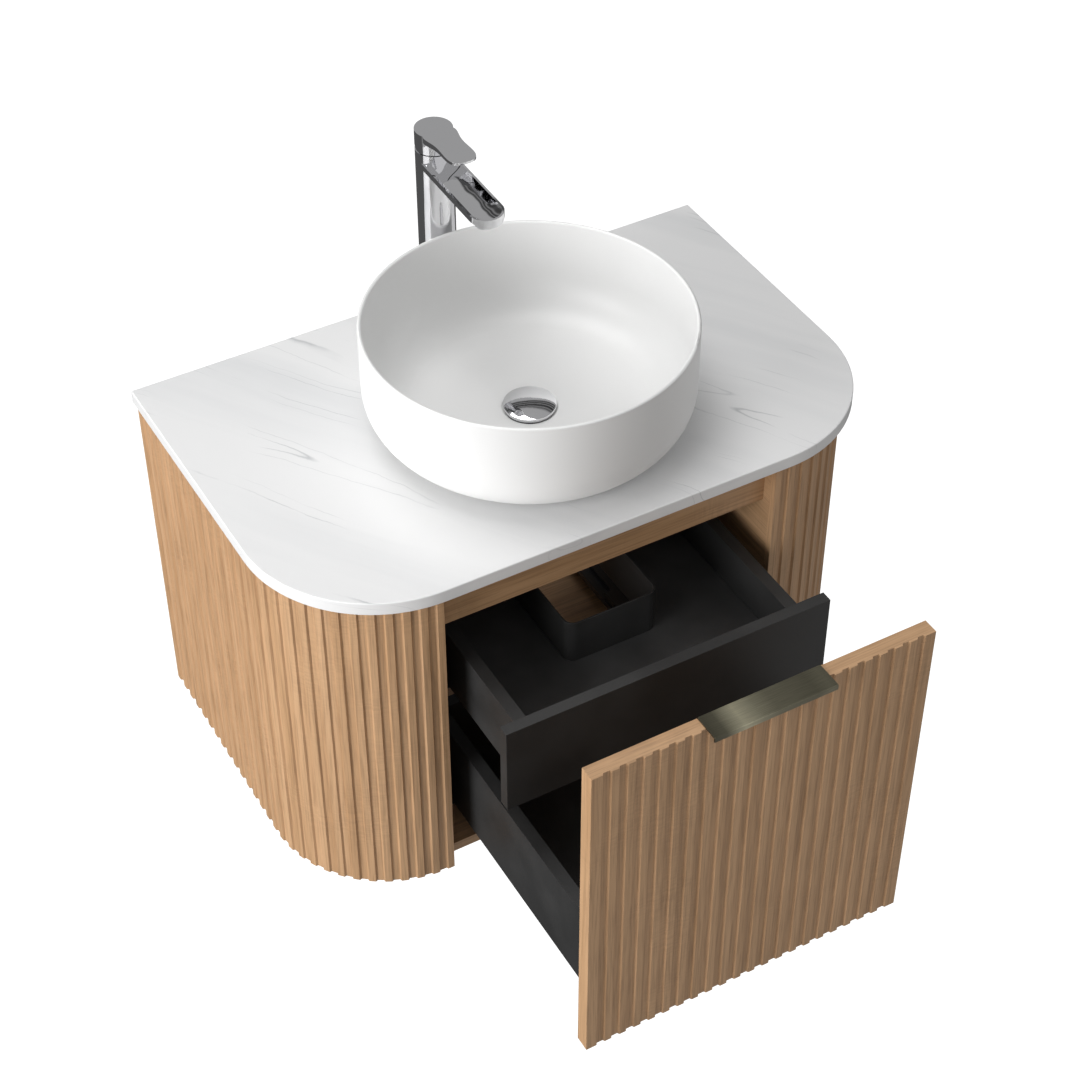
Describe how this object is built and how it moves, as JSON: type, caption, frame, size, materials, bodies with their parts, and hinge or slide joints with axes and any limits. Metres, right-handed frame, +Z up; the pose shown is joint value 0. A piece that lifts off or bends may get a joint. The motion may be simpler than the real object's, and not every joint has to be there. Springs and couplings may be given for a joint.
{
  "type": "vessel sink on vanity",
  "caption": "Wall-hung D-shaped vanity with fluted oak sides, a stone-look top, a round vessel basin, a tall lever tap, a fluted drawer and a hidden inner drawer.",
  "frame": {"origin": "centre of the four wall bolts, on the wall", "axes": "+X to the user's right, -Y out of the wall towards the user, +Z up"},
  "size_m": [0.8, 0.8155, 0.775],
  "materials": {
    "stone_top": "honed white with faint grey veins",
    "white_ceramic": "matte glaze",
    "chrome": "polished",
    "rubber": "moulded",
    "brass": "machined",
    "cartridge_plastic": "moulded",
    "zinc_steel": "zinc plated",
    "black_steel": "black electro-coat",
    "oak_board": "oak veneer, matt lacquer",
    "oak_fluted": "fluted oak veneer, matt lacquer",
    "oak_front": "fluted oak veneer, matt lacquer",
    "gunmetal": "brushed, dark nickel",
    "black_board": "matt black melamine",
    "black_plastic": "matt"
  },
  "bodies": {
    "cabinet": {"countertop": "stone_top", "basin": "white_ceramic", "drain_body": "chrome", "drain_seal": "rubber", "drain_washer": "rubber", "drain_nut": "brass", "tap_body": "chrome", "tap_seal": "rubber", "tap_shank": "brass", "tap_risers": "brass", "tap_washer": "rubber", "tap_nut": "brass", "tap_cartridge": "cartridge_plastic", "tap_retainer": "chrome", "tap_aerator": "chrome", "bottom_panel": "oak_board", "front_rail": "oak_board", "hanging_rail": "oak_board", "lower_rail": "oak_board", "carcass_screws": "zinc_steel", "runner_screws": "zinc_steel", "partition_left": "oak_board", "partition_right": "oak_board", "skin_left": "oak_fluted", "skin_right": "oak_fluted", "side_base_left": "oak_board", "side_base_right": "oak_board", "side_back_left": "oak_board", "side_back_right": "oak_board", "lower_runner_left": "black_steel", "lower_runner_right": "black_steel", "inner_runner_left": "black_steel", "inner_runner_right": "black_steel"},
    "lower_drawer": {"lower_front": "oak_front", "handle": "gunmetal", "front_brackets": "zinc_steel", "lower_back": "black_board", "lower_bottom": "black_board", "lower_screws": "zinc_steel", "lower_side_left": "black_board", "lower_side_right": "black_board", "lower_slide_left": "black_steel", "lower_slide_right": "black_steel"},
    "lower_middle": {"lower_middle": "black_steel"},
    "inner_drawer": {"inner_front": "black_board", "inner_bottom": "black_board", "inner_recess": "black_plastic", "inner_fixings": "zinc_steel", "inner_side_left": "black_board", "inner_side_right": "black_board", "inner_back_left": "black_board", "inner_back_right": "black_board", "inner_slide_left": "black_steel", "inner_slide_right": "black_steel"},
    "inner_middle": {"inner_middle": "black_steel"},
    "tap_turret": {"tap_carrier": "chrome", "tap_pivot": "zinc_steel"},
    "tap_handle": {"tap_lever": "chrome", "tap_stem": "zinc_steel"},
    "waste_cap": {"drain_cap": "chrome"}
  },
  "joints": [
    {"name": "lower_drawer_slide", "type": "slide", "parent": "cabinet", "child": "lower_drawer", "axis": [0, -1, 0], "range_m": [-0.32, 0.06]},
    {"name": "lower_runner_slide", "type": "slide", "parent": "cabinet", "child": "lower_middle", "axis": [0, -1, 0], "range_m": [-0.16, 0.03]},
    {"name": "inner_drawer_slide", "type": "slide", "parent": "cabinet", "child": "inner_drawer", "axis": [0, -1, 0], "range_m": [-0.1584, 0.0297]},
    {"name": "inner_runner_slide", "type": "slide", "parent": "cabinet", "child": "inner_middle", "axis": [0, -1, 0], "range_m": [-0.0792, 0.01485]},
    {"name": "tap_turn", "type": "hinge", "parent": "cabinet", "child": "tap_turret", "pos_m": [0, -0.049, 0.4995], "axis": [0, 0, 1], "range_deg": [-45, 45]},
    {"name": "tap_lift", "type": "hinge", "parent": "tap_turret", "child": "tap_handle", "pos_m": [0, -0.049, 0.4995], "axis": [-1, 0, 0], "range_deg": [0, 25]},
    {"name": "waste_cap_slide", "type": "slide", "parent": "cabinet", "child": "waste_cap", "axis": [0, 0, 1], "range_m": [0, 0.008]}
  ],
  "couplings": [
    {"joint": "lower_runner_slide", "follows": "lower_drawer_slide", "ratio": 0.5},
    {"joint": "inner_drawer_slide", "follows": "lower_drawer_slide", "ratio": 0.495},
    {"joint": "inner_runner_slide", "follows": "lower_drawer_slide", "ratio": 0.2475}
  ]
}
